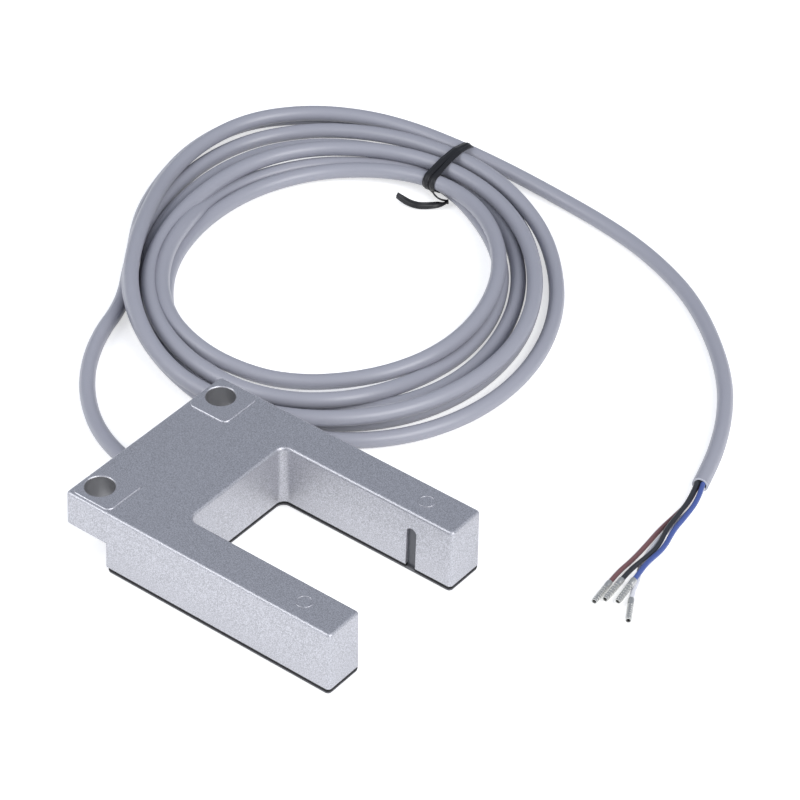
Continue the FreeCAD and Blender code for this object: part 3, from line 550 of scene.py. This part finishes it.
def make_wrap(name, shift, skew, clearance):
    """One turn of the tie, pulled tight round all the strands."""
    across, point = outwards(TIE_ANGLE)
    base = COIL_MIDDLE + point
    origin = Vector((base.x, base.y, 0))
    out = Vector((across.x, across.y, 0))
    along = Vector((-out.y, out.x, 0))
    strands = [lay(360 * turn + TIE_ANGLE) for turn in range(len(TURNS))]
    path, outs = [], []
    for step in range(WRAP_STEPS):
        turn = 2 * math.pi * step / WRAP_STEPS
        reach, rise = math.cos(turn), math.sin(turn)
        offset, height = max(strands, key=lambda spot: spot[0] * reach + spot[1] * rise)
        radius = CABLE_DIAMETER / 2 + clearance
        offset += radius * reach
        height += radius * rise
        slide = shift + skew * offset
        path.append(origin + out * offset + Vector((0, 0, height)) + along * slide)
        outs.append(out * reach + Vector((0, 0, rise)))
    return sweep_ribbon(name, path, outs, TIE_SECTION, closed=True)


wraps = [
    make_wrap("tie_wrap_1", shift=-0.2, skew=0.07, clearance=0.14),
    make_wrap("tie_wrap_2", shift=0.65, skew=0.01, clearance=0.3),
]
# Stations of the tail: a point on its middle line, and the way that its ribbed face looks
TIE_TAIL = [
    ((-53.0, 123.0, 3.6), (0.3, -0.9, 0.1)),
    ((-52.3, 122.8, 2.6), (0.3, -0.7, -0.5)),
    ((-51.1, 122.6, 1.8), (0.4, -0.5, -0.8)),
    ((-49.9, 122.9, 1.3), (0.4, -0.5, -0.8)),
    ((-48.8, 123.4, 1.15), (0.0, -0.8, -0.8)),
    ((-48.2, 123.4, 1.05), (-0.8, -0.6, 0.0)),
    ((-48.6, 122.4, 0.95), (-0.4, 0.0, 1.1)),
    ((-49.5, 120.9, 0.95), (0.3, -0.4, 1.0)),
    ((-51.1, 119.1, 0.95), (0.5, -0.6, 0.6)),
    ((-52.9, 117.6, 1.1), (0.5, -0.6, 0.6)),
    ((-55.4, 117.0, 1.3), (0.5, -0.6, 0.6)),
    ((-58.4, 117.0, 1.8), (0.8, -1.0, 0.0)),
]
tail_path = through([Vector(point) for point, out in TIE_TAIL], TAIL_PARTS)
tail_outs = through([Vector(out) for point, out in TIE_TAIL], TAIL_PARTS)
tail = sweep_ribbon("tie_tail", tail_path, tail_outs, TIE_SECTION, closed=False)
finish_piece(wraps[0], "tie_plastic", "coil_tie")
finish_piece(wraps[1], "tie_plastic")
finish_piece(tail, "tie_plastic")

# Wires with their ferrules: a smooth mouth round the wire, then a ribbed barrel, open at its tip

FERRULE_MOUTH = [(0, 0.5), (0, 0.68), (0.15, 0.72), (1.5, 0.72), (1.75, 0.62)]
RIB_SECTION = [(0.1, 0.70), (0.42, 0.70), (0.5, 0.54)]
FIRST_RIB = 1.8
RIB_PITCH = 0.7
RIB_COUNT = 7
FERRULE_RIBS = [(FIRST_RIB + RIB_PITCH * rib + along, radius)
                for rib in range(RIB_COUNT) for along, radius in RIB_SECTION]
FERRULE_TIP = [(6.85, 0.66), (7.0, 0.64), (7.0, 0.46), (4.0, 0.45)]
for colour, route in WIRE_ROUTES.items():
    wire = make_curve(f"{colour}_cord", route, WIRE_DIAMETER, wire_materials[colour])
    finish_piece(wire, f"wire_{colour}", f"{colour}_wire")
    ferrule = make_turned(f"{colour}_sleeve", *end_of(route),
                          FERRULE_MOUTH + FERRULE_RIBS + FERRULE_TIP, tin)
    finish_piece(ferrule, "ferrule_metal", f"{colour}_ferrule")

# Ring marks over the optical axis


def make_ring_mark(name, y):
    """A small raised ring on a prong's top."""
    bpy.ops.mesh.primitive_torus_add(
        location=(AXIS_X * MM, y * MM, HOUSING_TOP * MM), major_radius=MARK_RADIUS * MM,
        minor_radius=MARK_THICKNESS * MM, major_segments=48, minor_segments=10)
    mark = bpy.context.object
    mark.name = name
    bpy.ops.object.shade_smooth()
    paint(mark, casting)
    finish_piece(mark, "casting")


make_ring_mark("emitter_mark", -PRONG_Y)
make_ring_mark("receiver_mark", PRONG_Y)

# Floor and light


def mix_for_view(tree, plain, white, share, target):
    """Mix two shaders: what is seen, mirrored or seen through gets white by share, light none."""
    path = tree.nodes.new("ShaderNodeLightPath")
    seen = path.outputs["Is Camera Ray"]
    for ray in ("Is Glossy Ray", "Is Transmission Ray"):
        either = tree.nodes.new("ShaderNodeMath")
        either.operation = "MAXIMUM"
        tree.links.new(seen, either.inputs[0])
        tree.links.new(path.outputs[ray], either.inputs[1])
        seen = either.outputs[0]
    scale = tree.nodes.new("ShaderNodeMath")
    scale.operation = "MULTIPLY"
    scale.inputs[1].default_value = share
    tree.links.new(seen, scale.inputs[0])
    mix = tree.nodes.new("ShaderNodeMixShader")
    tree.links.new(scale.outputs[0], mix.inputs[0])
    tree.links.new(plain, mix.inputs[1])
    tree.links.new(white, mix.inputs[2])
    tree.links.new(mix.outputs[0], target)


# The floor's size and place in metres, the share of white that is seen on it, and how strong
FLOOR_SIZE = 6
FLOOR_HEIGHT = -0.0002
WHITE_SHARE = 0.1
WHITE_STRENGTH = 5.8

# The world's colours, at the horizon and from a little over it upwards
HORIZON = (0.68, 0.69, 0.72)
OVERHEAD = (0.30, 0.33, 0.395)
OVERHEAD_FROM = 0.12


def make_floor():
    """A large pale floor just under the cable."""
    bpy.ops.mesh.primitive_plane_add(size=FLOOR_SIZE, location=(0, 0, FLOOR_HEIGHT))
    floor = bpy.context.object
    floor.name = "floor"
    material, shader = make_material("pale_floor", (0.86, 0.86, 0.86), 0.9, 0.0, 0.0)
    tree = material.node_tree
    glow = tree.nodes.new("ShaderNodeEmission")
    glow.inputs["Strength"].default_value = WHITE_STRENGTH
    mix_for_view(tree, shader.outputs[0], glow.outputs[0], WHITE_SHARE,
                 tree.nodes["Material Output"].inputs["Surface"])
    paint(floor, material)


def make_world():
    """Light from all sides, brightest near the horizon."""
    world = bpy.data.worlds.new("studio")
    world.use_nodes = True
    tree = world.node_tree
    place = tree.nodes.new("ShaderNodeTexCoord")
    parts = tree.nodes.new("ShaderNodeSeparateXYZ")
    tree.links.new(place.outputs["Generated"], parts.inputs[0])
    ramp = tree.nodes.new("ShaderNodeValToRGB")
    for stop, height, colour in ((0, 0.0, HORIZON), (1, OVERHEAD_FROM, OVERHEAD)):
        ramp.color_ramp.elements[stop].position = height
        ramp.color_ramp.elements[stop].color = (*colour, 1)
    tree.links.new(parts.outputs["Z"], ramp.inputs["Fac"])
    plain = tree.nodes["Background"]
    tree.links.new(ramp.outputs["Color"], plain.inputs["Color"])
    bpy.context.scene.world = world


def add_softbox(name, place, aim, size, power):
    """A square area light at a place, turned to a point."""
    data = bpy.data.lights.new(name, "AREA")
    data.shape = "SQUARE"
    data.size = size
    data.energy = power
    light = bpy.data.objects.new(name, data)
    light.location = place
    light.rotation_mode = "QUATERNION"
    light.rotation_quaternion = (Vector(aim) - Vector(place)).to_track_quat("-Z", "Y")
    bpy.context.scene.collection.objects.link(light)


make_floor()
make_world()

# Soft key light from the near side and fill from the prongs' ends
LIGHT_AIM = (0, 0.05, 0)
add_softbox("key", (-0.3, -0.36, 0.42), LIGHT_AIM, size=0.45, power=1.8)
add_softbox("fill", (1.0, -0.1, 0.85), LIGHT_AIM, size=0.9, power=13.5)

# Camera, from the photograph's perspective

CAMERA_PLACE = (0.367834, -0.450642, 0.508517)
CAMERA_RIGHT = Vector((0.78909, 0.61377, 0.02520))
CAMERA_UP = Vector((-0.39937, 0.48141, 0.78022))
CAMERA_BACK = Vector((0.46674, -0.62573, 0.62499))
SENSOR_WIDTH = 36
LENS = 166.82

camera_data = bpy.data.cameras.new("camera")
camera_data.sensor_width = SENSOR_WIDTH
camera_data.lens = LENS
camera_data.clip_start = 0.05
camera_data.clip_end = 20
camera = bpy.data.objects.new("camera", camera_data)
turned = Matrix((CAMERA_RIGHT, CAMERA_UP, CAMERA_BACK)).transposed()
camera.matrix_world = Matrix.Translation(CAMERA_PLACE) @ turned.to_4x4()
bpy.context.scene.collection.objects.link(camera)
bpy.context.scene.camera = camera

bpy.context.scene.view_settings.view_transform = "Standard"
